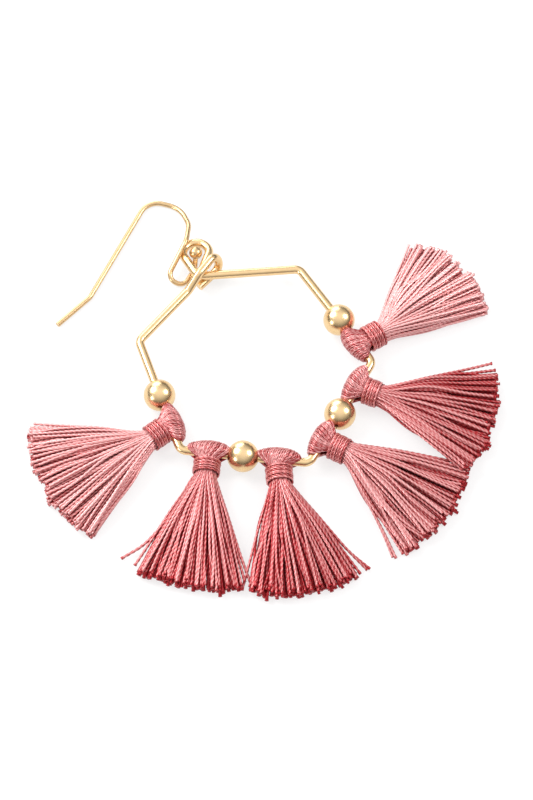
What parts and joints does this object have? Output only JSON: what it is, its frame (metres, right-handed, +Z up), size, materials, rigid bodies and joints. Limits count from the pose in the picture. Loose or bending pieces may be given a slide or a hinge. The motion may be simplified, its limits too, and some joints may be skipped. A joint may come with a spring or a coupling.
{
  "type": "tassel earring",
  "caption": "Drop earring lying flat: an open hexagonal gold-coloured wire hoop with round beads and fanned rose thread tassels, hung on a fishhook ear wire.",
  "frame": {"origin": "middle of the underside of the whole earring's box, as it lies on a table", "axes": "+Z up out of the table; +Y along the hoop's axis of symmetry towards the ear wire; +X to the right seen from above"},
  "size_m": [0.0764, 0.0739, 0.005],
  "materials": {
    "hoop_metal": "polished",
    "ear_wire_metal": "polished",
    "bead_metal": "polished",
    "tassel_thread": "silky thread",
    "binding_thread": "silky thread"
  },
  "bodies": {
    "root": {"frame_wire": "hoop_metal", "ear_hook": "ear_wire_metal", "bead_1": "bead_metal", "bead_2": "bead_metal", "bead_3": "bead_metal", "bead_4": "bead_metal", "tassel_1": "tassel_thread", "tassel_2": "tassel_thread", "tassel_3": "tassel_thread", "tassel_4": "tassel_thread", "tassel_5": "tassel_thread", "tassel_6": "tassel_thread", "binding_1": "binding_thread", "binding_2": "binding_thread", "binding_3": "binding_thread", "binding_4": "binding_thread", "binding_5": "binding_thread", "binding_6": "binding_thread"}
  },
  "joints": []
}
